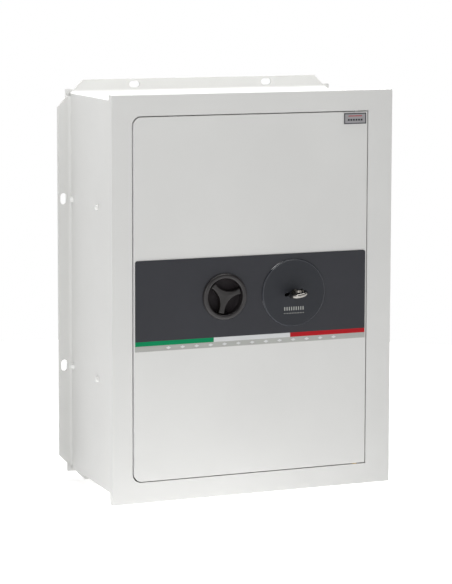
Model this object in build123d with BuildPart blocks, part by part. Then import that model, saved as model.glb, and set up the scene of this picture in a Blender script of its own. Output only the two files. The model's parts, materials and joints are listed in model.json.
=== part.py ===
from build123d import *

import os
from math import cos, radians, sin

# Built-in wall safe with a key lock and a three-spoke boltwork knob, in millimetres.
#
# Frame: origin at the centre of the back plate's rear face, +Z up, front towards -Y, +X to the right of
# someone facing the door.  Stations along the depth are given as distances forward of that rear face,
# so a sketch at station s lies on Plane.XZ.offset(s) and extrudes towards the room.

# ---- driving dimensions -------------------------------------------------------------------------
FRAME_W, FRAME_H, FRAME_T = 360.0, 484.0, 10.0
FRONT = 184.0                      # station of the front face
OVERHANG = 8.0                     # frame beyond the body, all round
SHEET = 3.0                        # body and back plate sheet
FLANGE_REACH = 16.5                # rear flange beyond the body
BEND = 4.0                         # inside radius of the flange bend
BACK_MARGIN = 5.0                  # back plate beyond the body
SLOT_W, SLOT_L = 8.0, 14.0         # fixing slots in the flanges
SIDE_SLOT_Z, SIDE_SLOT_X = 104.0, 181.5
CAP_SLOT_X, CAP_SLOT_Z = 88.5, 243.5

OPEN_LEFT, OPEN_RIGHT, OPEN_Z = -155.0, 148.0, 217.0   # door opening in the frame
GAP_LOCK, GAP_HINGE, GAP_ENDS = 2.0, 1.0, 1.0          # gaps round the door
DOOR_CORNER = 10.0                                     # rounded corners on the lock side

HINGE_X, HINGE_S = 134.0, 179.0    # hinge axis, upright
PIN_R, PIN_IN_DOOR, PIN_IN_FRAME = 2.5, 14.0, 14.0
RUNNING = 0.05                     # radial clearance of shafts that turn
EDGE = 0.8                         # rounding of the plates' front edges

KNOB_X, KEY_X = -39.0, 50.0        # both at mid height
CUP_R, CUP_INNER_R, CUP_BODY_R = 28.0, 22.0, 24.5
DISC_R = 41.0                      # key escutcheon
KEY_TILT = 12.0                    # degrees by which the keyhole's slot rises to the right
KEYHOLE_R, KEYHOLE_L, KEYHOLE_W = 3.5, 24.0, 3.8
FASCIA_LEFT, FASCIA_RIGHT, FASCIA_TOP, FASCIA_BOTTOM = -151.5, 145.0, 47.5, -48.5
FASCIA_T, TRIM_T = 1.0, 0.6
FLAG_H, SILVER_H = 5.4, 6.5        # heights of the coloured and the silver strips

BOLT_R, BOLT_THROW, BOLT_PITCH = 8.0, 16.0, 140.0
BOLT_S = 164.5                     # station of the bolt axes
BOLT_TIP, BOLT_TAIL = -151.0, -100.0
DEAD_BOLT_THROW = 8.0
COVER_LEFT, COVER_RIGHT, COVER_Z = -148.0, 112.0, 196.0
COVER_REAR, COVER_T = 128.0, 1.5

# ---- worked out from them -----------------------------------------------------------------------
BODY_W, BODY_H = FRAME_W - 2 * OVERHANG, FRAME_H - 2 * OVERHANG
BACK_OF_FRAME = FRONT - FRAME_T
FLANGE_FRONT = 2 * SHEET           # the flanges lie on the back plate
DOOR_LEFT, DOOR_RIGHT = OPEN_LEFT + GAP_LOCK, OPEN_RIGHT - GAP_HINGE
DOOR_Z = OPEN_Z - GAP_ENDS
DOOR_MID = (DOOR_LEFT + DOOR_RIGHT) / 2
INNER_X, INNER_Z = BODY_W / 2 - SHEET, BODY_H / 2 - SHEET
CRANK_R = BOLT_THROW / 2 / sin(radians(45))
CAM_R = DEAD_BOLT_THROW / 2
BOLT_Z = [-BOLT_PITCH, 0.0, BOLT_PITCH]


def station(s):
    """Upright plane s forward of the rear face: local x is X, local y is Z, extrudes to the room."""
    return Plane.XZ.offset(s)


def box_between(x0, x1, s0, s1, z0, z1, mode=Mode.ADD):
    """Box given by its limits, s being the stations of its rear and front faces."""
    with Locations(((x0 + x1) / 2, -(s0 + s1) / 2, (z0 + z1) / 2)):
        return Box(x1 - x0, s1 - s0, z1 - z0, mode=mode)


def rod(x, z, s0, s1, radius, mode=Mode.ADD):
    """Cylinder along the depth."""
    with Locations(Location((x, -(s0 + s1) / 2, z), (90, 0, 0))):
        return Cylinder(radius, s1 - s0, mode=mode)


def cross_rod(x0, x1, s, z, radius, mode=Mode.ADD):
    """Cylinder from left to right."""
    with Locations(Location(((x0 + x1) / 2, -s, z), (0, 90, 0))):
        return Cylinder(radius, abs(x1 - x0), mode=mode)


def key_bar(width, s0, s1, thickness, mode=Mode.ADD):
    """Flat bar through the key's axis, turned with the keyhole."""
    with Locations(Location((KEY_X, -(s0 + s1) / 2, 0), (0, -KEY_TILT, 0))):
        return Box(width, s1 - s0, thickness, mode=mode)


def keyhole(s0, s1):
    """Cut a round hole with a slot through it for a double-bitted key."""
    rod(KEY_X, 0, s0, s1, KEYHOLE_R, mode=Mode.SUBTRACT)
    key_bar(KEYHOLE_L, s0, s1, KEYHOLE_W, mode=Mode.SUBTRACT)


os.makedirs("parts", exist_ok=True)

# ======================================= body ====================================================
with BuildPart() as front_frame:
    with BuildSketch(station(BACK_OF_FRAME)):
        Rectangle(FRAME_W, FRAME_H)
    extrude(amount=FRAME_T)
    fillet(front_frame.faces().sort_by(Axis.Y)[0].edges(), EDGE)
    with BuildSketch(station(BACK_OF_FRAME)) as door_opening:
        with Locations(((OPEN_LEFT + OPEN_RIGHT) / 2, 0)):
            Rectangle(OPEN_RIGHT - OPEN_LEFT, 2 * OPEN_Z)
        fillet(door_opening.vertices().group_by(Axis.X)[0], DOOR_CORNER + 1)
    extrude(amount=FRAME_T, mode=Mode.SUBTRACT)
    for side in (-1, 1):
        with Locations((HINGE_X, -HINGE_S, side * (OPEN_Z + PIN_IN_FRAME / 2))):
            Cylinder(PIN_R, PIN_IN_FRAME, mode=Mode.SUBTRACT)
front_frame.part.label = "front_frame"
export_step(front_frame.part, "parts/front_frame.step")

with BuildPart() as back_plate:
    with BuildSketch(station(0)):
        Rectangle(BODY_W + 2 * BACK_MARGIN, BODY_H + 2 * BACK_MARGIN)
    extrude(amount=SHEET)
back_plate.part.label = "back_plate"
export_step(back_plate.part, "parts/back_plate.step")


# The four walls are alike: sheet bent outwards at the rear into a flange with two slots and 45 degree ends.
X, Y, Z = Vector(1, 0, 0), Vector(0, 1, 0), Vector(0, 0, 1)
PEG_S = [13.6, 108.0]              # stations of the shelf pegs
PEG_SHANK_R = 2.0
WALLS = [          # name, outward direction, wall face, length, body corner, slots along and out
    ("left_wall", -X, BODY_W / 2, 2 * INNER_Z, BODY_H / 2, SIDE_SLOT_Z, SIDE_SLOT_X),
    ("right_wall", X, BODY_W / 2, 2 * INNER_Z, BODY_H / 2, SIDE_SLOT_Z, SIDE_SLOT_X),
    ("top_wall", Z, BODY_H / 2, BODY_W, BODY_W / 2, CAP_SLOT_X, CAP_SLOT_Z),
    ("bottom_wall", -Z, BODY_H / 2, BODY_W, BODY_W / 2, CAP_SLOT_X, CAP_SLOT_Z),
]
for label, outward, face, length, corner, slot_along, slot_out in WALLS:
    run = outward.cross(Y)
    with BuildPart() as wall:
        with BuildSketch(Plane(origin=run * (-length / 2), x_dir=outward, z_dir=run)):
            with BuildLine():
                Polyline((face, -FLANGE_FRONT - BEND), (face, -BACK_OF_FRAME),
                         (face - SHEET, -BACK_OF_FRAME), (face - SHEET, -FLANGE_FRONT - BEND))
                CenterArc((face + BEND, -FLANGE_FRONT - BEND), BEND + SHEET, 90, 90)
                Polyline((face + BEND, -SHEET), (face + FLANGE_REACH, -SHEET),
                         (face + FLANGE_REACH, -FLANGE_FRONT), (face + BEND, -FLANGE_FRONT))
                CenterArc((face + BEND, -FLANGE_FRONT - BEND), BEND, 90, 90)
            make_face()
        extrude(amount=length)
        with BuildSketch(Plane(origin=(0, 0, 0), x_dir=run, z_dir=Y)):
            with Locations((corner, face + FLANGE_REACH), (-corner, face + FLANGE_REACH)):
                Rectangle(FLANGE_REACH * 2**0.5, FLANGE_REACH * 2**0.5, rotation=45)
            with Locations((slot_along, slot_out), (-slot_along, slot_out)):
                SlotOverall(SLOT_L, SLOT_W)
        extrude(amount=-FLANGE_FRONT - BEND, mode=Mode.SUBTRACT)
        if abs(outward.X) > 0:
            for z in (-SIDE_SLOT_Z, SIDE_SLOT_Z):
                for s in PEG_S:
                    cross_rod(outward.X * (face - SHEET), outward.X * face, s, z, PEG_SHANK_R, Mode.SUBTRACT)
    wall.part.label = label
    export_step(wall.part, f"parts/{label}.step")

# Each peg is a domed rivet through the side wall that carries the shelf on its inner end.
PEG_R, PEG_LENGTH, HEAD_R, HEAD_H = 2.5, 8.0, 3.6, 3.8
for side, label in ((-1, "left_shelf_pegs"), (1, "right_shelf_pegs")):
    with BuildPart() as shelf_pegs:
        for z in (-SIDE_SLOT_Z, SIDE_SLOT_Z):
            for s in PEG_S:
                cross_rod(side * BODY_W / 2, side * (BODY_W / 2 + HEAD_H), s, z, HEAD_R)
                cross_rod(side * INNER_X, side * BODY_W / 2, s, z, PEG_SHANK_R)
                cross_rod(side * (INNER_X - PEG_LENGTH), side * INNER_X, s, z, PEG_R)
        outer_end = shelf_pegs.edges().filter_by(GeomType.CIRCLE).group_by(Axis.X)[-1 if side > 0 else 0]
        fillet(outer_end, HEAD_R - 0.3)
    shelf_pegs.part.label = label
    export_step(shelf_pegs.part, f"parts/{label}.step")

SHELF_T, SHELF_LIP, SHELF_X = 1.5, 12.0, 168.0
SHELF_FRONT, SHELF_REAR = 122.0, 6.0
SHELF_Z = -SIDE_SLOT_Z + PEG_R     # underside, on the lower pegs
with BuildPart() as shelf:
    box_between(-SHELF_X, SHELF_X, SHELF_REAR, SHELF_FRONT, SHELF_Z, SHELF_Z + SHELF_T)
    box_between(-SHELF_X, SHELF_X, SHELF_FRONT - SHELF_T, SHELF_FRONT, SHELF_Z - SHELF_LIP, SHELF_Z)
    fillet(shelf.edges().filter_by(Axis.X).group_by(Axis.Y)[0].sort_by(Axis.Z)[-1], SHELF_T - 0.5)
shelf.part.label = "shelf"
export_step(shelf.part, "parts/shelf.step")

MAT_T, MAT_X, MAT_REAR, MAT_FRONT = 2.0, 150.0, 8.0, 124.0
with BuildPart() as base_mat:
    box_between(-MAT_X, MAT_X, MAT_REAR, MAT_FRONT, -INNER_Z, -INNER_Z + MAT_T)
base_mat.part.label = "base_mat"
export_step(base_mat.part, "parts/base_mat.step")

# Hinge pins are pressed into the frame and the door turns on them.
for side, label in ((1, "upper_hinge_pin"), (-1, "lower_hinge_pin")):
    with BuildPart() as hinge_pin:
        with Locations((HINGE_X, -HINGE_S, side * (OPEN_Z + (PIN_IN_FRAME - PIN_IN_DOOR) / 2))):
            Cylinder(PIN_R, PIN_IN_FRAME + PIN_IN_DOOR)
        chamfer(hinge_pin.edges().filter_by(GeomType.CIRCLE), 0.4)
    hinge_pin.part.label = label
    export_step(hinge_pin.part, f"parts/{label}.step")

WASHER_R, WASHER_T = 4.5, 0.9
with BuildPart() as hinge_washer:
    with BuildSketch(Plane.XY.offset(-OPEN_Z)):
        with Locations((HINGE_X, -HINGE_S)):
            Circle(WASHER_R)
            Circle(PIN_R + RUNNING, mode=Mode.SUBTRACT)
    extrude(amount=WASHER_T)
hinge_washer.part.label = "hinge_washer"
export_step(hinge_washer.part, "parts/hinge_washer.step")

# ======================================= door ====================================================
KEY_BORE_R = 16.0                  # through the door and fascia, filled by the escutcheon's boss
CUP_BORE_R = CUP_BODY_R + 0.5
with BuildPart() as door_plate:
    with BuildSketch(station(BACK_OF_FRAME)) as door_outline:
        with Locations((DOOR_MID, 0)):
            Rectangle(DOOR_RIGHT - DOOR_LEFT, 2 * DOOR_Z)
        fillet(door_outline.vertices().group_by(Axis.X)[0], DOOR_CORNER)
    extrude(amount=FRAME_T)
    fillet(door_plate.faces().sort_by(Axis.Y)[0].edges(), EDGE)
    rod(KNOB_X, 0, BACK_OF_FRAME, FRONT, CUP_BORE_R, mode=Mode.SUBTRACT)
    rod(KEY_X, 0, BACK_OF_FRAME, FRONT, KEY_BORE_R, mode=Mode.SUBTRACT)
    for side in (-1, 1):
        with Locations((HINGE_X, -HINGE_S, side * (DOOR_Z - PIN_IN_DOOR / 2))):
            Cylinder(PIN_R + RUNNING, PIN_IN_DOOR + 2, mode=Mode.SUBTRACT)
door_plate.part.label = "door_plate"
export_step(door_plate.part, "parts/door_plate.step")

FASCIA_CORNER = 3.0
with BuildPart() as fascia_panel:
    with BuildSketch(station(FRONT)) as fascia_outline:
        with Locations(((FASCIA_LEFT + FASCIA_RIGHT) / 2, (FASCIA_TOP + FASCIA_BOTTOM) / 2)):
            Rectangle(FASCIA_RIGHT - FASCIA_LEFT, FASCIA_TOP - FASCIA_BOTTOM)
        fillet(fascia_outline.vertices().group_by(Axis.Y)[-1], FASCIA_CORNER)
        with Locations((KNOB_X, 0)):
            Circle(CUP_BORE_R, mode=Mode.SUBTRACT)
        with Locations((KEY_X, 0)):
            Circle(KEY_BORE_R, mode=Mode.SUBTRACT)
    extrude(amount=FASCIA_T)
    chamfer(fascia_panel.faces().sort_by(Axis.Y)[0].outer_wire().edges().group_by(Axis.Z)[1:], 0.3)
fascia_panel.part.label = "fascia_panel"
export_step(fascia_panel.part, "parts/fascia_panel.step")

# Three strips of equal length under the panel, and a silver strip below them.
third = (FASCIA_RIGHT - FASCIA_LEFT) / 3
for i, colour in enumerate(("green", "white", "red")):
    with BuildPart() as trim_strip:
        box_between(FASCIA_LEFT + i * third, FASCIA_LEFT + (i + 1) * third,
                    FRONT, FRONT + TRIM_T, FASCIA_BOTTOM - FLAG_H, FASCIA_BOTTOM)
    trim_strip.part.label = f"{colour}_trim_strip"
    export_step(trim_strip.part, f"parts/{colour}_trim_strip.step")

silver_top = FASCIA_BOTTOM - FLAG_H
with BuildPart() as silver_trim_strip:
    box_between(FASCIA_LEFT, FASCIA_RIGHT, FRONT, FRONT + TRIM_T, silver_top - SILVER_H, silver_top)
silver_trim_strip.part.label = "silver_trim_strip"
export_step(silver_trim_strip.part, "parts/silver_trim_strip.step")

BADGE_LEFT, BADGE_RIGHT, BADGE_LOW, BADGE_HIGH, BADGE_T = 115.5, 144.5, 201.2, 214.2, 0.8
with BuildPart() as rating_badge:
    box_between(BADGE_LEFT, BADGE_RIGHT, FRONT, FRONT + BADGE_T, BADGE_LOW, BADGE_HIGH)
    chamfer(rating_badge.faces().sort_by(Axis.Y)[0].edges(), 0.25)
rating_badge.part.label = "rating_badge"
export_step(rating_badge.part, "parts/rating_badge.step")

# The cup is a dished bezel let through the door; a ring nut holds it from behind.
CUP_FRONT, CUP_FLOOR, FLOOR_T, CUP_REAR = FRONT + FASCIA_T + 3.5, 175.5, 3.0, 168.0
RIM_OUTER_ROUND, RIM_INNER_ROUND = 3.2, 2.0
SPINDLE_R = 5.0
with BuildPart() as knob_cup:
    with BuildSketch(Plane(origin=(KNOB_X, 0, 0), x_dir=(1, 0, 0), z_dir=(0, 0, 1))) as cup_section:
        with BuildLine():
            Polyline((SPINDLE_R + RUNNING, -CUP_FLOOR), (CUP_INNER_R - 2, -CUP_FLOOR),
                     (CUP_INNER_R, -CUP_FLOOR - 2), (CUP_INNER_R, -CUP_FRONT), (CUP_R, -CUP_FRONT),
                     (CUP_R, -FRONT - FASCIA_T), (CUP_BODY_R, -FRONT - FASCIA_T),
                     (CUP_BODY_R, -CUP_REAR), (CUP_INNER_R, -CUP_REAR),
                     (CUP_INNER_R, -CUP_FLOOR + FLOOR_T), (SPINDLE_R + RUNNING, -CUP_FLOOR + FLOOR_T),
                     (SPINDLE_R + RUNNING, -CUP_FLOOR))
        make_face()
    revolve(axis=Axis((KNOB_X, 0, 0), (0, 1, 0)))
    rim = knob_cup.edges().filter_by(GeomType.CIRCLE).group_by(Axis.Y)[0].sort_by(SortBy.RADIUS)
    fillet(rim[-1], RIM_OUTER_ROUND)
    rim = knob_cup.edges().filter_by(GeomType.CIRCLE).group_by(Axis.Y)[0].sort_by(SortBy.RADIUS)
    fillet(rim[0], RIM_INNER_ROUND)
knob_cup.part.label = "knob_cup"
export_step(knob_cup.part, "parts/knob_cup.step")

NUT_R, NUT_REAR, NUT_NOTCH_W, NUT_NOTCHES = 31.0, 169.0, 4.0, 6
with BuildPart() as cup_ring_nut:
    with BuildSketch(station(NUT_REAR)):
        with Locations((KNOB_X, 0)):
            Circle(NUT_R)
            Circle(CUP_BODY_R, mode=Mode.SUBTRACT)
            with PolarLocations(NUT_R, NUT_NOTCHES):
                Rectangle(NUT_NOTCH_W, NUT_NOTCH_W * 1.5, mode=Mode.SUBTRACT)
    extrude(amount=BACK_OF_FRAME - NUT_REAR)
cup_ring_nut.part.label = "cup_ring_nut"
export_step(cup_ring_nut.part, "parts/cup_ring_nut.step")

DISC_T, BOSS_R, BOSS_REAR = 1.8, 15.5, 176.0
with BuildPart() as key_escutcheon:
    rod(KEY_X, 0, FRONT + FASCIA_T, FRONT + FASCIA_T + DISC_T, DISC_R)
    fillet(key_escutcheon.faces().sort_by(Axis.Y)[0].edges(), 1.3)
    rod(KEY_X, 0, BOSS_REAR, FRONT + FASCIA_T, BOSS_R)
    keyhole(BOSS_REAR, FRONT + FASCIA_T + DISC_T)
key_escutcheon.part.label = "key_escutcheon"
export_step(key_escutcheon.part, "parts/key_escutcheon.step")

# Key lock: hardened plate, hollow case, cam bearing plate, cover and four screws, behind the door.
LOCK_X0, LOCK_X1, LOCK_Z0, LOCK_Z1 = 22.0, 78.0, -34.0, 30.0
GUARD_REAR, CASE_REAR, LOCK_COVER_T, CASE_WALL = 170.0, 134.0, 2.0, 3.0
POST_INSET, SCREW_R, SCREW_HEAD_R, SCREW_HEAD_H, SCREW_LENGTH = 4.5, 2.0, 3.8, 1.5, 12.0
DEAD_W, DEAD_S0, DEAD_S1, DEAD_SIDE_GAP = 8.0, 137.0, 146.0, 0.3
case_screws = [(x, z) for x in (LOCK_X0 + POST_INSET, LOCK_X1 - POST_INSET)
               for z in (LOCK_Z0 + POST_INSET, LOCK_Z1 - POST_INSET)]

with BuildPart() as drill_guard:
    box_between(LOCK_X0, LOCK_X1, GUARD_REAR, BACK_OF_FRAME, LOCK_Z0, LOCK_Z1)
    keyhole(GUARD_REAR, BACK_OF_FRAME)
drill_guard.part.label = "drill_guard"
export_step(drill_guard.part, "parts/drill_guard.step")

with BuildPart() as lock_case:
    box_between(LOCK_X0, LOCK_X1, CASE_REAR, GUARD_REAR, LOCK_Z0, LOCK_Z1)
    box_between(LOCK_X0 + CASE_WALL, LOCK_X1 - CASE_WALL, CASE_REAR, GUARD_REAR - CASE_WALL,
                LOCK_Z0 + CASE_WALL, LOCK_Z1 - CASE_WALL, mode=Mode.SUBTRACT)
    for x, z in case_screws:
        rod(x, z, CASE_REAR, GUARD_REAR - CASE_WALL, POST_INSET)
        rod(x, z, CASE_REAR, CASE_REAR + SCREW_LENGTH, SCREW_R, mode=Mode.SUBTRACT)
    keyhole(GUARD_REAR - CASE_WALL, GUARD_REAR)
    box_between(KEY_X - DEAD_W / 2 - DEAD_SIDE_GAP, KEY_X + DEAD_W / 2 + DEAD_SIDE_GAP,
                DEAD_S0 - DEAD_SIDE_GAP, DEAD_S1 + DEAD_SIDE_GAP, LOCK_Z1 - CASE_WALL, LOCK_Z1,
                mode=Mode.SUBTRACT)
lock_case.part.label = "lock_case"
export_step(lock_case.part, "parts/lock_case.step")

CAM_DISC_R, CAM_S0, CAM_S1 = 13.0, 141.3, 145.3
BEARING_LOW, BEARING_HIGH = -24.5, 14.0
with BuildPart() as cam_bearing_plate:
    box_between(LOCK_X0 + CASE_WALL, LOCK_X1 - CASE_WALL, CAM_S0, CAM_S1, BEARING_LOW, BEARING_HIGH)
    rod(KEY_X, 0, CAM_S0, CAM_S1, CAM_DISC_R + RUNNING, mode=Mode.SUBTRACT)
cam_bearing_plate.part.label = "cam_bearing_plate"
export_step(cam_bearing_plate.part, "parts/cam_bearing_plate.step")

with BuildPart() as lock_cover:
    box_between(LOCK_X0, LOCK_X1, CASE_REAR - LOCK_COVER_T, CASE_REAR, LOCK_Z0, LOCK_Z1)
    for x, z in case_screws:
        rod(x, z, CASE_REAR - LOCK_COVER_T, CASE_REAR, SCREW_R, mode=Mode.SUBTRACT)
lock_cover.part.label = "lock_cover"
export_step(lock_cover.part, "parts/lock_cover.step")

with BuildPart() as lock_screws:
    for x, z in case_screws:
        rod(x, z, CASE_REAR - LOCK_COVER_T, CASE_REAR + SCREW_LENGTH - 2, SCREW_R)
        rod(x, z, CASE_REAR - LOCK_COVER_T - SCREW_HEAD_H, CASE_REAR - LOCK_COVER_T, SCREW_HEAD_R)
lock_screws.part.label = "lock_screws"
export_step(lock_screws.part, "parts/lock_screws.step")

# Boltwork carried by the door.
GUIDE_X0, GUIDE_X1, GUIDE_REAR, GUIDE_Z = -146.0, -138.0, 150.0, 165.0
BOLT_GUIDE_R = BOLT_R + 0.08
with BuildPart() as bolt_guide_bar:
    box_between(GUIDE_X0, GUIDE_X1, GUIDE_REAR, BACK_OF_FRAME, -GUIDE_Z, GUIDE_Z)
    for z in BOLT_Z:
        cross_rod(GUIDE_X0, GUIDE_X1, BOLT_S, z, BOLT_GUIDE_R, Mode.SUBTRACT)
bolt_guide_bar.part.label = "bolt_guide_bar"
export_step(bolt_guide_bar.part, "parts/bolt_guide_bar.step")

ARM_Z, POST_X, POST_R, POST_NECK_R, POST_HEAD_R, POST_HEAD_H = 55.0, 0.0, 5.0, 3.5, 6.0, 2.0
DRIVE_S0, DRIVE_S1, DRIVE_GAP = 141.0, 145.0, 0.5
with BuildPart() as guide_post:
    neck_rear, neck_front = DRIVE_S0 - DRIVE_GAP, DRIVE_S1 + DRIVE_GAP
    rod(POST_X, ARM_Z, neck_front, BACK_OF_FRAME, POST_R)
    rod(POST_X, ARM_Z, neck_rear, neck_front, POST_NECK_R)
    rod(POST_X, ARM_Z, neck_rear - POST_HEAD_H, neck_rear, POST_HEAD_R)
guide_post.part.label = "guide_post"
export_step(guide_post.part, "parts/guide_post.step")

# Fixed bar that reaches behind the frame on the hinge side, thinner where it does.
DOG_X0, DOG_STEP_X, DOG_X1, DOG_REAR, DOG_Z, DOG_GAP = 118.0, 140.0, 158.0, 162.0, 180.0, 0.5
with BuildPart() as hinge_side_dog:
    box_between(DOG_X0, DOG_STEP_X, DOG_REAR, BACK_OF_FRAME, -DOG_Z, DOG_Z)
    box_between(DOG_STEP_X, DOG_X1, DOG_REAR, BACK_OF_FRAME - DOG_GAP, -DOG_Z, DOG_Z)
    chamfer(hinge_side_dog.edges().filter_by(Axis.Z).group_by(Axis.X)[-1], 1.5)
hinge_side_dog.part.label = "hinge_side_dog"
export_step(hinge_side_dog.part, "parts/hinge_side_dog.step")

TAB_LEFT, TAB_RIGHT, TAB_Z = -100.0, 86.0, 210.0
TAB_SCREW_R, TAB_HEAD_R, TAB_HEAD_H = 2.5, 4.5, 2.5
COVER_SCREWS = [(x, z) for x in (TAB_LEFT + 10, TAB_RIGHT - 10) for z in (7 - TAB_Z, TAB_Z - 7)]
with BuildPart() as boltwork_cover:
    box_between(COVER_LEFT, COVER_RIGHT, COVER_REAR, BACK_OF_FRAME, -COVER_Z, COVER_Z)
    fillet(boltwork_cover.edges().filter_by(Axis.Z).group_by(Axis.Y)[-1], 3.0)
    box_between(COVER_LEFT + COVER_T, COVER_RIGHT - COVER_T, COVER_REAR + COVER_T, BACK_OF_FRAME,
                -COVER_Z + COVER_T, COVER_Z - COVER_T, mode=Mode.SUBTRACT)
    for low, high in ((-TAB_Z, -COVER_Z + COVER_T), (COVER_Z - COVER_T, TAB_Z)):
        box_between(TAB_LEFT, TAB_RIGHT, BACK_OF_FRAME - COVER_T, BACK_OF_FRAME, low, high)
    for z in BOLT_Z:
        cross_rod(COVER_LEFT, COVER_LEFT + COVER_T, BOLT_S, z, BOLT_R + 1, Mode.SUBTRACT)
    for x, z in COVER_SCREWS:
        rod(x, z, BACK_OF_FRAME - COVER_T, BACK_OF_FRAME, TAB_SCREW_R, mode=Mode.SUBTRACT)
boltwork_cover.part.label = "boltwork_cover"
export_step(boltwork_cover.part, "parts/boltwork_cover.step")

with BuildPart() as cover_screws:
    for x, z in COVER_SCREWS:
        rod(x, z, BACK_OF_FRAME - COVER_T - TAB_HEAD_H, BACK_OF_FRAME - COVER_T, TAB_HEAD_R)
        rod(x, z, BACK_OF_FRAME - COVER_T, BACK_OF_FRAME, TAB_SCREW_R)
cover_screws.part.label = "cover_screws"
export_step(cover_screws.part, "parts/cover_screws.step")

# ======================================= knob ====================================================
# Three-spoke handle: a disc with three round scoops, turned a little from upright.
HANDLE_R, HANDLE_REAR, HANDLE_FRONT = 21.0, 178.0, 187.0
SCOOP_R, SCOOP_AT, FIRST_SPOKE = 21.9, 29.2, 17.0
SOCKET_DEPTH = 4.0                 # the spindle's end in the handle
with BuildPart() as knob_handle:
    with BuildSketch(station(HANDLE_REAR)):
        with Locations((KNOB_X, 0)):
            Circle(HANDLE_R)
            with PolarLocations(SCOOP_AT, 3, start_angle=FIRST_SPOKE + 60):
                Circle(SCOOP_R, mode=Mode.SUBTRACT)
    extrude(amount=HANDLE_FRONT - HANDLE_REAR)
    fillet(knob_handle.faces().sort_by(Axis.Y)[0].edges(), 1.4)
    rod(KNOB_X, 0, HANDLE_REAR, HANDLE_REAR + SOCKET_DEPTH, SPINDLE_R, mode=Mode.SUBTRACT)
knob_handle.part.label = "knob_handle"
export_step(knob_handle.part, "parts/knob_handle.step")

CRANK_S0, CRANK_S1, CRANK_DISC_R, CRANK_PIN_R = 152.0, 158.0, 18.0, 4.0
with BuildPart() as knob_spindle:
    rod(KNOB_X, 0, CRANK_S0, HANDLE_REAR + SOCKET_DEPTH, SPINDLE_R)
knob_spindle.part.label = "knob_spindle"
export_step(knob_spindle.part, "parts/knob_spindle.step")

CLIP_S0, CLIP_R, CLIP_T, CLIP_GAP = 169.8, 9.0, 1.2, 3.0
with BuildPart() as spindle_circlip:
    with BuildSketch(station(CLIP_S0)):
        with Locations((KNOB_X, 0)):
            Circle(CLIP_R)
            Circle(SPINDLE_R, mode=Mode.SUBTRACT)
            with Locations((0, 1 - CLIP_R)):
                Rectangle(CLIP_GAP, CLIP_R - 1, mode=Mode.SUBTRACT)
    extrude(amount=CLIP_T)
spindle_circlip.part.label = "spindle_circlip"
export_step(spindle_circlip.part, "parts/spindle_circlip.step")

pin_x, pin_z = KNOB_X + CRANK_R * cos(radians(45)), CRANK_R * sin(radians(45))
with BuildPart() as knob_crank:
    rod(KNOB_X, 0, CRANK_S0, CRANK_S1, CRANK_DISC_R)
    rod(KNOB_X, 0, CRANK_S0, CRANK_S1, SPINDLE_R, mode=Mode.SUBTRACT)
    rod(pin_x, pin_z, DRIVE_S0 - 2, CRANK_S0 + 3, CRANK_PIN_R)
knob_crank.part.label = "knob_crank"
export_step(knob_crank.part, "parts/knob_crank.step")

# ======================================= bolt carriage ============================================
BAR_T, BAR_Z, TAP_DEPTH = 6.0, 160.0, 12.0
BOLT_SCREW_R, NUT_FLATS_R, NUT_T = 4.0, 6.5, 5.0
with BuildPart() as bolt_bar:
    box_between(BOLT_TAIL, BOLT_TAIL + BAR_T, DRIVE_S1, BACK_OF_FRAME - 1, -BAR_Z, BAR_Z)
    for z in BOLT_Z:
        cross_rod(BOLT_TAIL, BOLT_TAIL + BAR_T, BOLT_S, z, BOLT_SCREW_R, Mode.SUBTRACT)
bolt_bar.part.label = "bolt_bar"
export_step(bolt_bar.part, "parts/bolt_bar.step")

with BuildPart() as locking_bolts:
    for z in BOLT_Z:
        cross_rod(BOLT_TIP, BOLT_TAIL, BOLT_S, z, BOLT_R)
    chamfer(locking_bolts.edges().filter_by(GeomType.CIRCLE).group_by(Axis.X)[0], 1.5)
    for z in BOLT_Z:
        cross_rod(BOLT_TAIL - TAP_DEPTH, BOLT_TAIL, BOLT_S, z, BOLT_SCREW_R, Mode.SUBTRACT)
locking_bolts.part.label = "locking_bolts"
export_step(locking_bolts.part, "parts/locking_bolts.step")

with BuildPart() as bolt_screws:
    for z in BOLT_Z:
        cross_rod(BOLT_TAIL - TAP_DEPTH + 2, BOLT_TAIL + BAR_T, BOLT_S, z, BOLT_SCREW_R)
        with BuildSketch(Plane.YZ.offset(BOLT_TAIL + BAR_T)):
            with Locations((-BOLT_S, z)):
                RegularPolygon(NUT_FLATS_R, 6, major_radius=False)
        extrude(amount=NUT_T)
bolt_screws.part.label = "bolt_screws"
export_step(bolt_screws.part, "parts/bolt_screws.step")

# Drive plate: slot for the crank pin, guide slot, and two notches that the dead bolt drops into.
PLATE_RIGHT, PLATE_Z, NECK_W, ARM_LOW, ARM_HIGH, ARM_END = -20.0, 22.0, 20.0, 44.0, 66.0, 82.0
CRANK_SLOT_W, NOTCH_W, NOTCH_H = 9.3, 9.0, 9.0
with BuildPart() as drive_plate:
    box_between(BOLT_TAIL, PLATE_RIGHT, DRIVE_S0, DRIVE_S1, -PLATE_Z, PLATE_Z)
    box_between(PLATE_RIGHT - NECK_W, PLATE_RIGHT, DRIVE_S0, DRIVE_S1, PLATE_Z, ARM_HIGH)
    box_between(PLATE_RIGHT, ARM_END, DRIVE_S0, DRIVE_S1, ARM_LOW, ARM_HIGH)
    with BuildSketch(station(DRIVE_S0)):
        with Locations((pin_x, (pin_z + CRANK_R) / 2)):
            SlotOverall(CRANK_R - pin_z + CRANK_SLOT_W + 2, CRANK_SLOT_W, rotation=90)
        with Locations((POST_X + BOLT_THROW / 2, ARM_Z)):
            SlotCenterToCenter(BOLT_THROW, 2 * (POST_NECK_R + 0.4))
        with Locations((KEY_X, ARM_LOW), (KEY_X + BOLT_THROW, ARM_LOW)):
            Rectangle(NOTCH_W, 2 * NOTCH_H)
    extrude(amount=DRIVE_S1 - DRIVE_S0, mode=Mode.SUBTRACT)
drive_plate.part.label = "drive_plate"
export_step(drive_plate.part, "parts/drive_plate.step")

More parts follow.
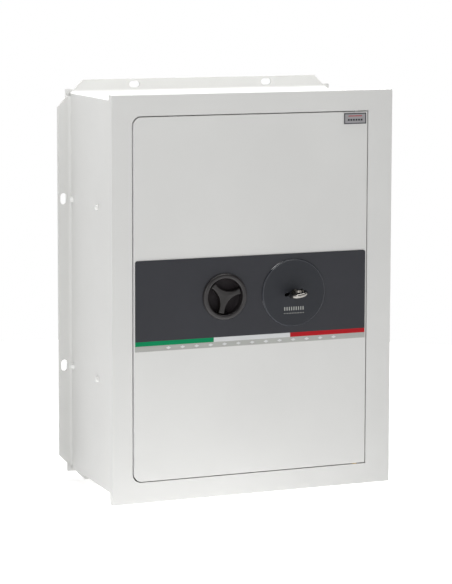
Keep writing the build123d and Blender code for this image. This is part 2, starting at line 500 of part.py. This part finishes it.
# ======================================= key lock motion ==========================================
KEY_T, TANG_W, TANG_GAP, CAM_PIN_R = 2.6, 8.0, 0.3, 2.0
with BuildPart() as lock_cam:
    rod(KEY_X, 0, CAM_S0, CAM_S1, CAM_DISC_R)
    key_bar(TANG_W + 2 * TANG_GAP, CAM_S0 + 1, CAM_S1, KEY_T + 2 * TANG_GAP, mode=Mode.SUBTRACT)
    rod(KEY_X, -CAM_R, DEAD_S0 + 0.5, CAM_S0, CAM_PIN_R)
lock_cam.part.label = "lock_cam"
export_step(lock_cam.part, "parts/lock_cam.step")

DEAD_TIP, DEAD_SHOULDER, TAIL_S1, TAIL_REACH = 42.0, 18.0, 141.0, 12.0
CAM_SLOT_L, CAM_SLOT_W = 16.0, 6.2
with BuildPart() as dead_bolt:
    box_between(KEY_X - DEAD_W / 2, KEY_X + DEAD_W / 2, DEAD_S0, DEAD_S1, DEAD_SHOULDER, DEAD_TIP)
    box_between(KEY_X - TAIL_REACH, KEY_X + TAIL_REACH, DEAD_S0, TAIL_S1, -TAIL_REACH, DEAD_SHOULDER)
    with BuildSketch(station(DEAD_S0)):
        with Locations((KEY_X, -CAM_R)):
            SlotOverall(CAM_SLOT_L, CAM_SLOT_W)
    extrude(amount=TAIL_S1 - DEAD_S0, mode=Mode.SUBTRACT)
dead_bolt.part.label = "dead_bolt"
export_step(dead_bolt.part, "parts/dead_bolt.step")

# ======================================= key ======================================================
# Double-bitted key with a plump oval bow: a rounded rim round a thinner web.
SHAFT_R, BIT_X, BIT_S0, BIT_S1, CUT_W = 3.0, 11.5, 146.0, 163.0, 2.0
COLLAR_R, COLLAR_S0, COLLAR_S1 = 4.4, 187.2, 190.0
BOW_S0, BOW_S1, BOW_X, BOW_T, BOW_WEB, BOW_RIM = 187.5, 212.5, 11.5, 5.0, 2.2, 3.4
BIT_CUTS = [(148.0, 2.5), (152.0, 1.2), (156.0, 3.2), (160.0, 1.8)]   # station and depth of the cuts
bow_middle, bow_half = -(BOW_S0 + BOW_S1) / 2, (BOW_S1 - BOW_S0) / 2
key_flat = Plane(Location((KEY_X, 0, 0), (0, -KEY_TILT, 0)))
with BuildPart() as key:
    with BuildSketch(key_flat):
        with Locations((0, bow_middle)):
            Ellipse(BOW_X, bow_half)
    extrude(amount=BOW_T / 2, both=True)
    fillet(key.edges(), BOW_T / 2 - 0.4)
    for face_side in (-1, 1):
        with BuildSketch(key_flat.offset(face_side * BOW_WEB / 2)):
            with Locations((0, bow_middle)):
                Ellipse(BOW_X - BOW_RIM, bow_half - BOW_RIM)
        extrude(amount=face_side * BOW_T / 2, mode=Mode.SUBTRACT)
    rod(KEY_X, 0, BIT_S0, BOW_S0 + BOW_RIM, SHAFT_R)
    rod(KEY_X, 0, COLLAR_S0, COLLAR_S1, COLLAR_R)
    key_bar(2 * BIT_X, BIT_S0, BIT_S1, KEY_T)
    key_bar(TANG_W, CAM_S0 + 1.3, BIT_S0, KEY_T)
    with Locations(Location((KEY_X, 0, 0), (0, -KEY_TILT, 0))):
        for s, depth in BIT_CUTS:
            with Locations((depth / 2 - BIT_X, -s - CUT_W / 2, 0), (BIT_X - depth / 2, -s - CUT_W / 2, 0)):
                Box(depth, CUT_W, KEY_T, mode=Mode.SUBTRACT)
key.part.label = "key"
export_step(key.part, "parts/key.step")
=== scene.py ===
"""Looks of a built-in wall safe: white powder-coated steel, charcoal fascia, black knob, nickel key."""

import json
from math import atan2, cos, pi, radians, sin, sqrt

import bmesh
import bpy
from mathutils import Matrix, Vector


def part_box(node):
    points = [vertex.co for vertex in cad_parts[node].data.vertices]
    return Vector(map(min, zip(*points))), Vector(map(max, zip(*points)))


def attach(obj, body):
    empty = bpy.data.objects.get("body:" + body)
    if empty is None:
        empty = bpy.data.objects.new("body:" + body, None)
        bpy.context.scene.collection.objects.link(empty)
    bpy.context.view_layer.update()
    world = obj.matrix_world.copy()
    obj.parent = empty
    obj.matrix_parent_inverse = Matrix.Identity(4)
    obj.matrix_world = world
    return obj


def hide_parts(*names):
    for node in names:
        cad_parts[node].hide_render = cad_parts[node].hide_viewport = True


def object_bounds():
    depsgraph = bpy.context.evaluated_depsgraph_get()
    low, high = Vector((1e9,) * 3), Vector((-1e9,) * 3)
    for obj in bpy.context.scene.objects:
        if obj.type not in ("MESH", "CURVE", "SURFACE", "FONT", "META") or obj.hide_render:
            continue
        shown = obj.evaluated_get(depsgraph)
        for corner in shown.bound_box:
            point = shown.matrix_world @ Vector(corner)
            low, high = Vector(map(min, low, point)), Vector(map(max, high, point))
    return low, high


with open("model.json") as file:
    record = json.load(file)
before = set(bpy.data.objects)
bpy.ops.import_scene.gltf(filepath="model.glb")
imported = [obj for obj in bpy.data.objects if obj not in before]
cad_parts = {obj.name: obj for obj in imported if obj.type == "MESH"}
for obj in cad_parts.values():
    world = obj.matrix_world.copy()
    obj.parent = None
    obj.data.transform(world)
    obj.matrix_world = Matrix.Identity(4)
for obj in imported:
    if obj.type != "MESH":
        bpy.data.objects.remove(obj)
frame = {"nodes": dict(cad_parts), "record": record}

CAD_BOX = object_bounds()
MM = 0.001
NODES = frame["nodes"]


# ======================================= places from the frame =====================================
def middle_of(node):
    low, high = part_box(node)
    return (low + high) / 2


frame_low, frame_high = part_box("front_frame")
FRONT_Y = frame_low.y                           # the frame's front face
FRAME_W = frame_high.x - frame_low.x
FLOOR_Z = CAD_BOX[0].z
FASCIA_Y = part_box("fascia_panel")[0].y          # the fascia's front face
DOOR_LEFT_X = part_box("door_plate")[0].x
CUP_FRONT_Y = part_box("knob_cup")[0].y
disc_low, disc_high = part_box("key_escutcheon")
DISC = middle_of("key_escutcheon")
DISC_R = (disc_high.x - disc_low.x) / 2
DISC_Y = disc_low.y                             # the escutcheon's front face


# ======================================= node materials ============================================
def feed(tree, socket, value):
    """Link a socket's value, or set it where it is a number or a vector."""
    if isinstance(value, bpy.types.NodeSocket):
        tree.links.new(value, socket)
    else:
        socket.default_value = value


def map_range(tree, value, low, high, to_low=0.0, to_high=1.0):
    made = tree.nodes.new("ShaderNodeMapRange")
    settings = (("Value", value), ("From Min", low), ("From Max", high), ("To Min", to_low),
                ("To Max", to_high))
    for name, setting in settings:
        feed(tree, made.inputs[name], setting)
    return made.outputs["Result"]


class Shader:
    """A Principled material and short calls for the nodes that feed it."""

    def __init__(self, name, colour, roughness, metallic=0.0, **sockets):
        self.material = bpy.data.materials.new(name)
        self.material.use_nodes = True
        self.tree = self.material.node_tree
        self.shader = self.tree.nodes["Principled BSDF"]
        self.colour = colour
        self.shader.inputs["Base Color"].default_value = (*colour, 1)
        self.shader.inputs["Roughness"].default_value = roughness
        self.shader.inputs["Metallic"].default_value = metallic
        for socket, value in sockets.items():
            self.shader.inputs[socket.replace("_", " ")].default_value = value
        self.material.diffuse_color = (*colour, 1)

    def node(self, kind, **inputs):
        made = self.tree.nodes.new(kind)
        for name, value in inputs.items():
            feed(self.tree, made.inputs[name.replace("_", " ")], value)
        return made

    def object_coords(self):
        return self.node("ShaderNodeTexCoord").outputs["Object"]

    def coords(self, scale=(1, 1, 1), location=(0, 0, 0)):
        mapping = self.node("ShaderNodeMapping", Vector=self.object_coords())
        mapping.inputs["Location"].default_value = location
        mapping.inputs["Scale"].default_value = scale
        return mapping.outputs["Vector"]

    def place(self, axis):
        """Where a point of the node lies along X, Y or Z."""
        return self.node("ShaderNodeSeparateXYZ", Vector=self.object_coords()).outputs[axis]

    def radius(self, centre):
        """How far a point lies from an axis that runs front to back through centre."""
        flat = self.coords((1, 0, 1), (-centre.x, 0, -centre.z))
        length = self.node("ShaderNodeVectorMath", Vector=flat)
        length.operation = "LENGTH"
        return length.outputs["Value"]

    def noise(self, scale, detail=2.0, roughness=0.5, stretch=(1, 1, 1), distortion=0.0):
        made = self.node("ShaderNodeTexNoise", Vector=self.coords(stretch), Scale=scale,
                         Detail=detail, Roughness=roughness, Distortion=distortion)
        return made.outputs["Fac"]

    def cells(self, scale):
        made = self.node("ShaderNodeTexVoronoi", Vector=self.coords(), Scale=scale)
        return made.outputs["Distance"]

    def spread(self, value, low, high, to_low=0.0, to_high=1.0):
        return map_range(self.tree, value, low, high, to_low, to_high)

    def math(self, operation, a, b):
        made = self.tree.nodes.new("ShaderNodeMath")
        made.operation = operation
        feed(self.tree, made.inputs[0], a)
        feed(self.tree, made.inputs[1], b)
        return made.outputs[0]

    def blend(self, amount, first, second):
        """One colour to another by amount; each is three numbers or a socket."""
        made = self.tree.nodes.new("ShaderNodeMix")
        made.data_type = "RGBA"
        feed(self.tree, made.inputs["Factor"], amount)
        for socket, value in ((made.inputs[6], first), (made.inputs[7], second)):
            linked = isinstance(value, bpy.types.NodeSocket)
            feed(self.tree, socket, value if linked else (*value, 1))
        return made.outputs[2]

    def drive(self, socket, value):
        """Feed one of the shader's own sockets."""
        feed(self.tree, self.shader.inputs[socket], value)

    def tint(self, amount, second):
        """Colour varies from the base colour to another by amount."""
        self.drive("Base Color", self.blend(amount, self.colour, second))

    def rough(self, value, low, high):
        """Roughness varies from low to high with a noise's value."""
        self.drive("Roughness", self.spread(value, 0.3, 0.7, low, high))

    def bump(self, height, distance, strength=1.0, below=None):
        """Relief of a height in metres, on top of another bump where below is one."""
        made = self.node("ShaderNodeBump", Height=height, Distance=distance, Strength=strength)
        if below is not None:
            feed(self.tree, made.inputs["Normal"], below)
        self.drive("Normal", made.outputs["Normal"])
        return made.outputs["Normal"]


def shade(colour, factor):
    return tuple(c * factor for c in colour)


def powder_coat(name, colour, gap_x=None):
    """Satin powder coat: fine orange peel over a slight unevenness of the film.

    With gap_x, the door's left edge, the walls of the gap beside it are painted near-white: painted
    light that lifts the shade in the gap.
    """
    coat = Shader(name, colour, 0.42, Specular_IOR_Level=0.45)
    film = coat.blend(coat.spread(coat.noise(9, 3), 0.35, 0.65), colour, shade(colour, 0.972))
    if gap_x is not None:
        across, inwards = coat.place("X"), coat.place("Y")
        from_left = coat.spread(across, gap_x - 3 * MM, gap_x - 2.6 * MM)
        to_right = coat.spread(across, gap_x + 0.4 * MM, gap_x + 0.7 * MM, 1, 0)
        behind_front = coat.spread(inwards, FRONT_Y + 0.3 * MM, FRONT_Y + 0.9 * MM)
        painted_gap_light = coat.math("MULTIPLY", coat.math("MULTIPLY", from_left, to_right), behind_front)
        # painted light: the gap's walls are painted near-white where shade would darken them
        film = coat.blend(painted_gap_light, film, (0.95, 0.95, 0.95))
    coat.drive("Base Color", film)
    coat.rough(coat.noise(60, 3), 0.38, 0.46)
    swell = coat.bump(coat.noise(150, 2), 0.12 * MM, 0.35)
    coat.bump(coat.noise(780, 3, 0.55), 0.035 * MM, 0.8, below=swell)
    return coat.material


def charcoal_film(name, colour, grain=1400):
    """Charcoal satin film with a fine even grain."""
    film = Shader(name, colour, 0.46, Specular_IOR_Level=0.3)
    film.tint(film.spread(film.noise(14, 3), 0.3, 0.7), shade(colour, 1.12))
    film.rough(film.noise(120, 3), 0.40, 0.50)
    film.bump(film.noise(grain, 2, 0.6), 0.02 * MM, 0.7)
    return film.material


def charcoal_disc(name, colour, centre, rim, grain=1800):
    """The same film on a disc about centre, glossier beyond the radius rim, where a painted highlight
    makes its colour paler.
    """
    film = Shader(name, colour, 0.46, Specular_IOR_Level=0.3)
    edge = film.spread(film.radius(centre), rim - 0.4 * MM, rim)
    # painted highlight: the rim's colour is painted paler than the face
    film.tint(edge, shade(colour, 1.7))
    face_gloss = film.spread(film.noise(120, 3), 0.3, 0.7, 0.40, 0.50)
    film.drive("Roughness", film.math("SUBTRACT", face_gloss, film.math("MULTIPLY", edge, 0.32)))
    film.bump(film.noise(grain, 2, 0.6), 0.02 * MM, 0.7)
    return film.material


def moulded_plastic(name, colour, floor_y=None):
    """Black-brown moulded plastic with a spark-eroded texture.

    With floor_y it is painted darker towards a floor at that depth, a painted shade in the recess, and
    it dulls there too.
    """
    plastic = Shader(name, colour, 0.36, Specular_IOR_Level=0.5)
    mottle = plastic.spread(plastic.noise(60, 4), 0.3, 0.7)
    surface = plastic.blend(mottle, colour, shade(colour, 1.35))
    gloss = plastic.noise(300, 3)
    if floor_y is None:
        plastic.rough(gloss, 0.30, 0.44)
    else:
        recess_shade_and_dullness = plastic.spread(plastic.place("Y"), floor_y - 9 * MM, floor_y - 3 * MM)
        # painted shade: the colour darkens towards the dish's floor
        surface = plastic.blend(recess_shade_and_dullness, surface, (0.017, 0.0125, 0.0145))
        plastic.drive("Roughness", plastic.math(
            "ADD", plastic.spread(gloss, 0.3, 0.7, 0.28, 0.38), plastic.math("MULTIPLY", recess_shade_and_dullness, 0.45)))
    plastic.drive("Base Color", surface)
    pits = plastic.bump(plastic.cells(1500), 0.01 * MM, 0.5)
    plastic.bump(plastic.noise(2200, 3, 0.6), 0.01 * MM, 0.6, below=pits)
    return plastic.material


def glossy_trim(name, colour):
    """Smooth dark trim with a little unevenness in its gloss."""
    trim = Shader(name, colour, 0.12, Specular_IOR_Level=1.0)
    trim.tint(trim.spread(trim.noise(80, 3), 0.3, 0.7), shade(colour, 1.3))
    trim.rough(trim.noise(260, 2), 0.09, 0.16)
    trim.bump(trim.noise(1500, 2), 0.006 * MM, 0.4)
    return trim.material


def enamel(name, colour):
    """Screen-printed satin enamel."""
    ink = Shader(name, colour, 0.40, Specular_IOR_Level=0.1)
    ink.tint(ink.spread(ink.noise(45, 3), 0.3, 0.7), shade(colour, 0.93))
    ink.rough(ink.noise(200, 2), 0.36, 0.44)
    ink.bump(ink.noise(1600, 2), 0.012 * MM, 0.6)
    return ink.material


def brushed(name, colour, roughness, stretch, scale=900, depth=0.02 * MM, patches=0.12):
    """Metal with fine lines along one direction, uneven in tone and gloss."""
    metal = Shader(name, colour, roughness, metallic=1.0)
    lines = metal.noise(scale, 4, 0.6, stretch)
    cloud = metal.noise(24, 4, 0.6)
    mixed = metal.math("ADD", metal.math("MULTIPLY", lines, 0.6), metal.math("MULTIPLY", cloud, 0.4))
    metal.tint(metal.spread(mixed, 0.3, 0.7), shade(colour, 1 - patches * 2))
    metal.rough(mixed, roughness - 0.06, roughness + 0.10)
    metal.bump(lines, depth, 0.6)
    return metal.material


def passivated_zinc(name):
    """Zinc plate with the yellow-to-pink drift of its passivation."""
    zinc = Shader(name, (0.56, 0.50, 0.36), 0.34, metallic=1.0)
    zinc.tint(zinc.spread(zinc.noise(28, 3, distortion=0.6), 0.35, 0.65), (0.52, 0.46, 0.42))
    zinc.rough(zinc.noise(160, 3), 0.28, 0.42)
    zinc.bump(zinc.noise(900, 3), 0.02 * MM, 0.5)
    return zinc.material


def polished_nickel(name):
    """Nickel plate with hairline handling scratches."""
    nickel = Shader(name, (0.40, 0.38, 0.355), 0.12, metallic=1.0)
    hair = nickel.noise(1200, 3, 0.6, (1, 12, 6))
    nickel.tint(nickel.spread(nickel.noise(90, 3), 0.35, 0.7), (0.27, 0.26, 0.245))
    nickel.rough(hair, 0.07, 0.17)
    nickel.bump(hair, 0.008 * MM, 0.5)
    return nickel.material


def turned_brass(name):
    """Brass with the slight dulling of handling."""
    brass = Shader(name, (0.68, 0.50, 0.22), 0.30, metallic=1.0)
    brass.tint(brass.spread(brass.noise(80, 4), 0.3, 0.7), (0.52, 0.37, 0.17))
    brass.rough(brass.noise(400, 3), 0.24, 0.40)
    brass.bump(brass.noise(1800, 2), 0.012 * MM, 0.5)
    return brass.material


def white_cap(name):
    """Glossy white plastic of the small press-in pegs."""
    cap = Shader(name, (0.82, 0.82, 0.81), 0.22, Specular_IOR_Level=0.6)
    cap.tint(cap.spread(cap.noise(200, 2), 0.3, 0.7), (0.78, 0.78, 0.765))
    cap.rough(cap.noise(500, 2), 0.18, 0.28)
    cap.bump(cap.noise(1500, 2), 0.01 * MM, 0.4)
    return cap.material


def needle_felt(name):
    """Dark grey felt: matted fibres and a soft sheen."""
    felt = Shader(name, (0.045, 0.046, 0.050), 0.95, Sheen_Weight=0.4, Sheen_Roughness=0.6)
    fibres = felt.noise(900, 6, 0.75, (1, 2.2, 1), distortion=1.5)
    felt.tint(felt.spread(fibres, 0.35, 0.7), (0.085, 0.086, 0.092))
    felt.bump(fibres, 0.4 * MM, 0.8)
    return felt.material


WHITE = (0.69, 0.69, 0.675)
CUP_DEPTH = 14 * MM                             # from the cup's front to the floor of its dish
DISC_RIM = 1.3 * MM                             # width of the escutcheon's glossier rim, painted paler as a painted highlight
FINE_LINES = dict(depth=0.01 * MM, patches=0.05)
MATERIALS = {
    "white_paint": powder_coat("white_powder_coat", WHITE),
    "grey_fascia": charcoal_film("charcoal_fascia", (0.027, 0.028, 0.034)),
    "dark_disc": charcoal_disc("charcoal_disc", (0.021, 0.023, 0.029), DISC, DISC_R - DISC_RIM),
    "black_plastic": moulded_plastic("black_moulded_plastic", (0.0105, 0.0085, 0.0082)),
    "green_enamel": enamel("green_enamel", (0.001, 0.245, 0.095)),
    "white_enamel": enamel("white_enamel", (0.65, 0.66, 0.665)),
    "red_enamel": enamel("red_enamel", (0.44, 0.011, 0.017)),
    "silver_foil": brushed("silver_foil", (0.41, 0.415, 0.395), 0.42, (0.02, 1, 1), 1600,
                           **FINE_LINES),
    "badge": brushed("badge_plate", (0.36, 0.355, 0.365), 0.40, (0.03, 1, 1), 1500, **FINE_LINES),
    "steel": brushed("rolled_steel", (0.40, 0.40, 0.41), 0.38, (1, 1, 0.04)),
    "bright_steel": brushed("turned_steel", (0.62, 0.62, 0.62), 0.24, (1, 0.3, 0.3), 1200,
                            **FINE_LINES),
    "zinc_lock": passivated_zinc("yellow_zinc"),
    "brass": turned_brass("turned_brass"),
    "key_chrome": polished_nickel("polished_nickel"),
    "felt": needle_felt("needle_felt"),
}

slot_of = {entry["node"]: entry["material_slot"] for entry in frame["record"]["subparts"]}
for name, node in NODES.items():
    node.data.materials.clear()
    node.data.materials.append(MATERIALS[slot_of[name]])

# variants of a slot's material, for the nodes that need more than it gives: painted shade in the knob's
# cup, painted light in the door's left gap, and white caps on the pegs
VARIANTS = (
    (moulded_plastic("black_moulded_plastic_cup", (0.0175, 0.0155, 0.016), CUP_FRONT_Y + CUP_DEPTH),
     ("knob_cup",)),
    (powder_coat("white_powder_coat_painted_gap_light", WHITE, DOOR_LEFT_X), ("front_frame", "door_plate")),
    (white_cap("white_peg_cap"), ("left_shelf_pegs", "right_shelf_pegs")),
)
for material, names in VARIANTS:
    for name in names:
        NODES[name].data.materials[0] = material


# ======================================= geometry helpers ==========================================
def add_piece(name, mesh, body, slot, smooth=False, material=None):
    """A mesh as a piece that rides on a body, with a slot's material or another one of that slot."""
    piece = bpy.data.objects.new(name, mesh)
    bpy.context.scene.collection.objects.link(piece)
    mesh.materials.append(material or MATERIALS[slot])
    if smooth:
        mesh.shade_smooth()
    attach(piece, body)
    return piece


def mesh_from(name, build):
    mesh = bpy.data.meshes.new(name)
    work = bmesh.new()
    build(work)
    bmesh.ops.recalc_face_normals(work, faces=work.faces)
    work.to_mesh(mesh)
    work.free()
    return mesh


def on_circle(angle, r):
    return Vector((cos(angle), sin(angle))) * r


# ======================================= knob handle ===============================================
HANDLE_REACH = 21 * MM                          # from the hub to a spoke's tip
SCOOP_R, SCOOP_AT = 21.9 * MM, 29.2 * MM        # the round scoops, and their centres from the hub
FIRST_SPOKE = radians(17)                       # anticlockwise from the right
SCOOP_STEPS, TIP_STEPS = 22, 5
CROWN_DISH = 0.7 * MM                           # how far the crown sinks at the hub
CROWN_FROM = 8.6 * MM                           # the crown is everything above this height
# inset from the outline and height above the handle's rear face, in mm, from the base to the crown
HANDLE_PROFILE = ((0.5, 0.0), (0.0, 0.45), (0.0, 6.6), (0.08, 7.5), (0.35, 8.2), (0.8, 8.7),
                  (1.3, 8.93), (1.8, 8.98))


def scooped_outline(inset):
    """Closed outline of a disc with three round scoops, moved inwards by inset."""
    outer, cut = HANDLE_REACH - inset, SCOOP_R + inset
    # half angle at the hub between a scoop's middle and where it meets the outer circle
    half = (outer**2 + SCOOP_AT**2 - cut**2) / (2 * outer * SCOOP_AT)
    half = atan2(sqrt(1 - half**2), half)
    points = []
    for k in range(3):
        middle = FIRST_SPOKE + radians(60 + 120 * k)
        centre = on_circle(middle, SCOOP_AT)
        start = on_circle(middle - half, outer) - centre
        end = on_circle(middle + half, outer) - centre
        a0, a1 = atan2(start.y, start.x), atan2(end.y, end.x)
        while a1 > a0:
            a1 -= 2 * pi
        for i in range(SCOOP_STEPS + 1):
            points.append(centre + on_circle(a0 + (a1 - a0) * i / SCOOP_STEPS, cut))
        b0, b1 = middle + half, middle + radians(120) - half
        for i in range(1, TIP_STEPS):
            points.append(on_circle(b0 + (b1 - b0) * i / TIP_STEPS, outer))
    return points


def build_handle(work):
    hub = middle_of("knob_spindle")
    rear_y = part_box("knob_handle")[1].y
    rings = []
    for inset, height in HANDLE_PROFILE:
        ring = []
        for p in scooped_outline(inset * MM):
            dish = CROWN_DISH * (1 - p.length / HANDLE_REACH) if height * MM > CROWN_FROM else 0
            ring.append(work.verts.new((hub.x + p.x, rear_y - height * MM + dish, hub.z + p.y)))
        rings.append(ring)
    count = len(rings[0])
    for lower, upper in zip(rings, rings[1:]):
        for i in range(count):
            j = (i + 1) % count
            work.faces.new((lower[i], lower[j], upper[j], upper[i]))
    work.faces.new(rings[0])
    work.faces.new(rings[-1])


handle = add_piece("knob_handle_moulding", mesh_from("knob_handle_moulding", build_handle), "knob",
                   "black_plastic", smooth=True)
subdivision = handle.modifiers.new("round", "SUBSURF")
subdivision.levels = subdivision.render_levels = 2
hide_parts("knob_handle")


# ======================================= printed marks =============================================
INK = 0.12 * MM                                 # how far a mark stands proud


def print_marks(name, outlines, y, slot):
    """Thin plates on the door from closed outlines of (x, z) points, on a surface at y."""

    def build(work):
        for outline in outlines:
            back = [work.verts.new((x, y, z)) for x, z in outline]
            front = [work.verts.new((x, y - INK, z)) for x, z in outline]
            work.faces.new(back)
            work.faces.new(front)
            for i in range(len(outline)):
                j = (i + 1) % len(outline)
                work.faces.new((back[i], back[j], front[j], front[i]))

    add_piece(name, mesh_from(name, build), "door", slot)


def rectangle(x, z, w, h):
    return [(x + i * w / 2, z + k * h / 2) for i, k in ((-1, -1), (1, -1), (1, 1), (-1, 1))]


def lozenge(x, z, w, h):
    return [(x - w / 2, z), (x, z - h / 2), (x + w / 2, z), (x, z + h / 2)]


def border(x, z, w, h, line):
    """Four strips along the edges of a rectangle, none on top of another."""
    rise, reach = (h - line) / 2, (w - line) / 2
    return [rectangle(x, z + rise, w, line), rectangle(x, z - rise, w, line),
            rectangle(x - reach, z, line, h - 2 * line), rectangle(x + reach, z, line, h - 2 * line)]


# a row of lozenges over the middle 72 % of the silver strip
LOZENGES, ROW_FROM, ROW_SHARE = 13, 0.14, 0.72
strip_low, strip_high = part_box("silver_trim_strip")
strip_z = (strip_low.z + strip_high.z) / 2
row = [ROW_FROM + ROW_SHARE * i / (LOZENGES - 1) for i in range(LOZENGES)]
print_marks("silver_strip_marks",
            [lozenge(strip_low.x + (strip_high.x - strip_low.x) * share, strip_z, 6.5 * MM, 3.4 * MM)
             for share in row], strip_low.y, "white_enamel")

# a row of ticks and a row of dots below the keyhole
ticks = [rectangle(DISC.x - 12 * MM + i * 3 * MM, DISC.z - 19 * MM, 1.2 * MM, 4.4 * MM)
         for i in range(9)]
dots = [rectangle(DISC.x - 12.6 * MM + i * 2.1 * MM, DISC.z - 24.6 * MM, 0.9 * MM, 0.9 * MM)
        for i in range(13)]
print_marks("escutcheon_marks", ticks + dots, DISC_Y, "silver_foil")


# ======================================= escutcheon trim ring ======================================
RING_LAP = 0.35 * MM                            # the ring's foot stands outside the disc by this
RING_SLOPE = 1.4                                # rise over run of its bevel
RING_SEGMENTS = 120


def build_trim_ring(work):
    """A thin steep bevel round the escutcheon, from the disc's face down to the fascia."""
    rise, base_r = FASCIA_Y - DISC_Y, DISC_R + RING_LAP
    top_r = base_r - rise / RING_SLOPE
    profile = ((top_r - 0.5 * MM, 0), (top_r - 0.25 * MM, rise), (top_r, rise + 0.06 * MM),
               (base_r, 0.05 * MM), (base_r, 0))
    rings = []
    for k in range(RING_SEGMENTS):
        angle = 2 * pi * k / RING_SEGMENTS
        rings.append([work.verts.new((DISC.x + r * cos(angle), FASCIA_Y - height,
                                      DISC.z + r * sin(angle))) for r, height in profile])
    for k, ring in enumerate(rings):
        after = rings[(k + 1) % RING_SEGMENTS]
        for i in range(len(profile)):
            j = (i + 1) % len(profile)
            work.faces.new((ring[i], ring[j], after[j], after[i]))


add_piece("escutcheon_trim_ring", mesh_from("escutcheon_trim_ring", build_trim_ring), "door",
          "dark_disc", material=glossy_trim("charcoal_trim", (0.022, 0.023, 0.027)))

# ======================================= badge =====================================================
# a border, a bar and a row of blocks
badge_low, badge_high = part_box("rating_badge")
badge = middle_of("rating_badge")
badge_w, badge_h = badge_high.x - badge_low.x, badge_high.z - badge_low.z
print_marks("badge_border", border(badge.x, badge.z, badge_w, badge_h, 1.1 * MM), badge_low.y,
            "grey_fascia")
print_marks("badge_red_bar", [rectangle(badge.x, badge.z + badge_h * 0.24, badge_w * 0.62, 0.9 * MM)],
            badge_low.y, "red_enamel")
print_marks("badge_bars",
            [rectangle(badge.x + (k - 2.5) * 3.4 * MM, badge.z - badge_h * 0.12, 2.4 * MM, 2.2 * MM)
             for k in range(6)], badge_low.y, "grey_fascia")

# ======================================= studio ====================================================
scene = bpy.context.scene
scene.view_settings.view_transform = "Standard"
GROUND_GLOW, SKY_FRONT, SKY_BACK = 1.0, 0.06, 0.5

# white below and just above the horizon, so that every level view has a white ground behind it; the
# sky above is dim over the camera's side and brighter behind the object
scene.world = bpy.data.worlds.new("studio")
scene.world.use_nodes = True
sky = scene.world.node_tree
background = sky.nodes["Background"]
background.inputs["Color"].default_value = (1, 1, 1, 1)
heading = sky.nodes.new("ShaderNodeSeparateXYZ")
feed(sky, heading.inputs["Vector"], sky.nodes.new("ShaderNodeTexCoord").outputs["Generated"])
upper = map_range(sky, heading.outputs["Y"], 0.45, 0.85, SKY_FRONT, SKY_BACK)
feed(sky, background.inputs["Strength"],
     map_range(sky, heading.outputs["Z"], 0.12, 0.25, GROUND_GLOW, upper))

# the floor is a light table: dim and even under the object, rising to the white ground at its rim,
# and brightest against the object's front, a little to the left
FLOOR_R = 1.0
FOOT_X, FOOT_Y = -0.09, FRONT_Y - 0.05
FOOT_REACH_X, FOOT_REACH_Y = 0.46, 0.20
FOOT_GLOW = 1.17
paper = Shader("floor_paper", (0.9, 0.9, 0.9), 0.9, Emission_Color=(1, 1, 1, 1))
paper.bump(paper.noise(300, 2), 0.05 * MM, 0.3)


def floor_gradient(x, y, reach_x, reach_y):
    """1 at a point of the floor, falling to 0 at an ellipse round it."""
    flat = paper.coords((1 / reach_x, 1 / reach_y, 0), (-x / reach_x, -y / reach_y, 0))
    gradient = paper.node("ShaderNodeTexGradient", Vector=flat)
    gradient.gradient_type = "SPHERICAL"
    return gradient.outputs["Fac"]


even = paper.spread(floor_gradient(0, 0, FLOOR_R, FLOOR_R), 0.6, 0.05, 0.48, 1.0)
foot = paper.math("MULTIPLY", floor_gradient(FOOT_X, FOOT_Y, FOOT_REACH_X, FOOT_REACH_Y), FOOT_GLOW)
paper.drive("Emission Strength", paper.math("ADD", even, foot))

floor = bpy.data.objects.new("floor", mesh_from("floor", lambda work: bmesh.ops.create_circle(
    work, cap_ends=True, segments=96, radius=FLOOR_R)))
floor.location = (0, 0, FLOOR_Z)
scene.collection.objects.link(floor)
floor.data.materials.append(paper.material)


def softbox(name, at, aim, width, depth, watts):
    """A rectangular light that the camera doesn't see."""
    lamp = bpy.data.lights.new(name, "AREA")
    lamp.shape = "RECTANGLE"
    lamp.size, lamp.size_y, lamp.energy = width, depth, watts
    box = bpy.data.objects.new(name, lamp)
    scene.collection.objects.link(box)
    box.location = at
    box.rotation_euler = (Vector(aim) - Vector(at)).to_track_quat("-Z", "Y").to_euler()
    box.visible_camera = False


softbox("overhead_softbox", (0.03, -0.05, 0.8), (0.03, -0.05, 0), width=1.0, depth=0.5, watts=10.2)
softbox("front_softbox", (-0.8, -0.95, 0.35), (0, -0.1, 0), width=0.5, depth=0.5, watts=2.1)

# ======================================= camera ====================================================
# turned about the vertical, tipped down and rolled, in radians; it stands this many frame widths from
# the middle of the frame's front face
YAW, PITCH, ROLL = 0.38084, 0.11097, 0.00224
STAND_OFF = Vector((-2.88636, -6.95121, 1.13979))

camera_data = bpy.data.cameras.new("camera")
camera_data.lens = 141.28
camera_data.sensor_width = 36
camera_data.shift_y = -0.15
camera_data.clip_start = 0.05
camera_data.clip_end = 200
camera = bpy.data.objects.new("camera", camera_data)
scene.collection.objects.link(camera)
scene.camera = camera
forward = Vector((sin(YAW) * cos(PITCH), cos(YAW) * cos(PITCH), -sin(PITCH)))
right = Vector((cos(YAW), -sin(YAW), 0))
up = right.cross(forward)
right, up = cos(ROLL) * right + sin(ROLL) * up, cos(ROLL) * up - sin(ROLL) * right
camera.matrix_world = Matrix((right, up, -forward)).transposed().to_4x4()
camera.location = Vector((0, FRONT_Y, 0)) + FRAME_W * STAND_OFF
